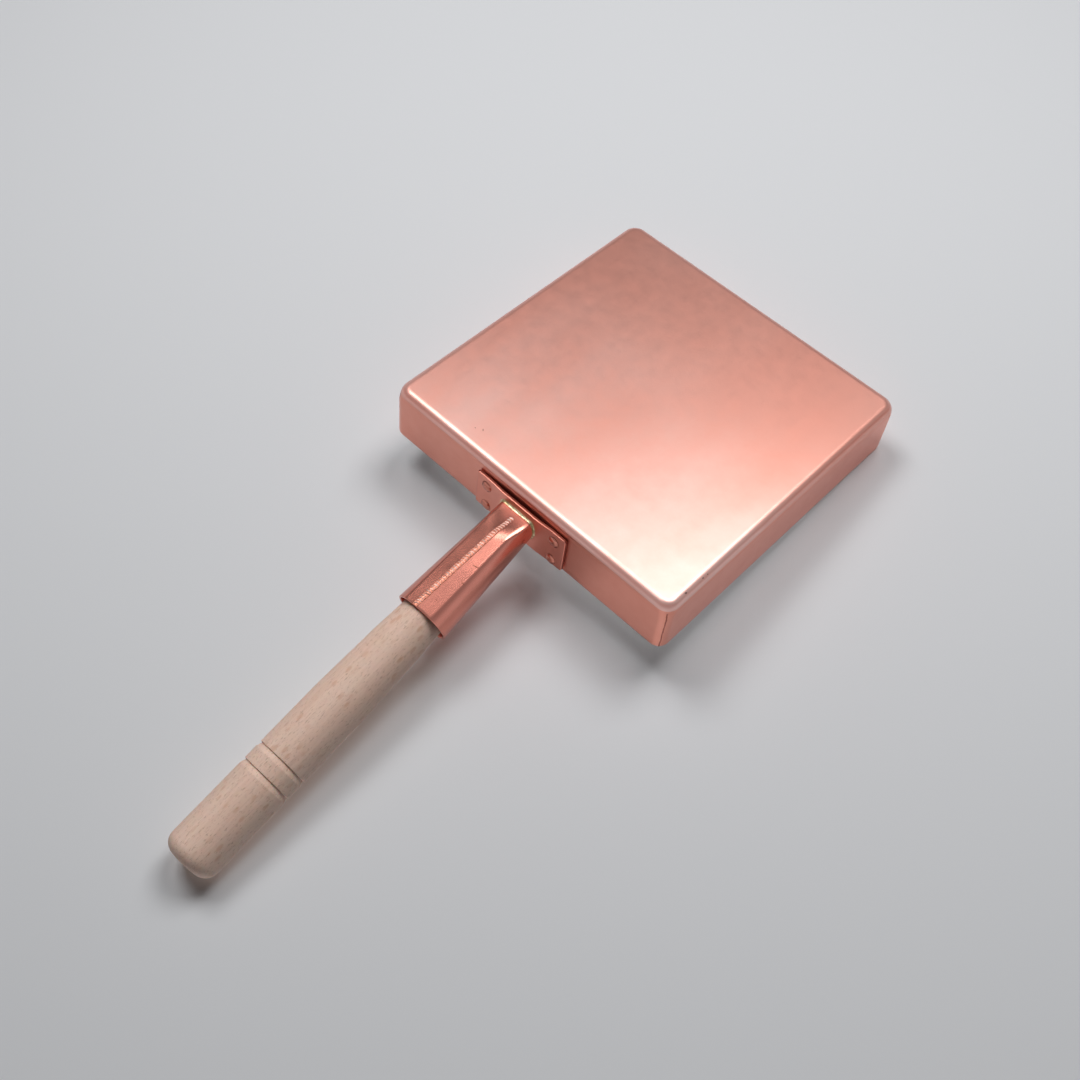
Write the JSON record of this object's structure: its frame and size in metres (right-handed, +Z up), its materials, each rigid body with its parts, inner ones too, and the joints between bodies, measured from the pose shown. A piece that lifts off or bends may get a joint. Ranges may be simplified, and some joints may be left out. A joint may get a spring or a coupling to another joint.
{
  "type": "omelette pan",
  "caption": "Square shallow copper omelette pan with a folded tray, riveted handle plate, rolled socket and turned wooden handle.",
  "frame": {"origin": "centre of the base's underside", "axes": "+Z up, out of the open tray; the handle runs towards -Y and rises; +X to the right for someone who looks along +Y"},
  "size_m": [0.18, 0.3925, 0.077],
  "materials": {
    "copper": "satin rolled copper",
    "braze": "brass braze, left as it flowed",
    "seam": "copper-coloured braze, left rippled",
    "tin": "wiped tin",
    "beech": "sanded, unvarnished beech"
  },
  "bodies": {
    "root": {"pan_body": "copper", "corner_braze_front_left": "seam", "corner_braze_front_right": "seam", "corner_braze_back_left": "seam", "corner_braze_back_right": "seam", "tin_lining": "tin", "handle_plate": "copper", "rivet_upper_left": "copper", "rivet_upper_right": "copper", "rivet_lower_left": "copper", "rivet_lower_right": "copper", "handle_socket": "copper", "socket_seam": "seam", "root_braze": "braze", "wooden_handle": "beech"}
  },
  "joints": []
}
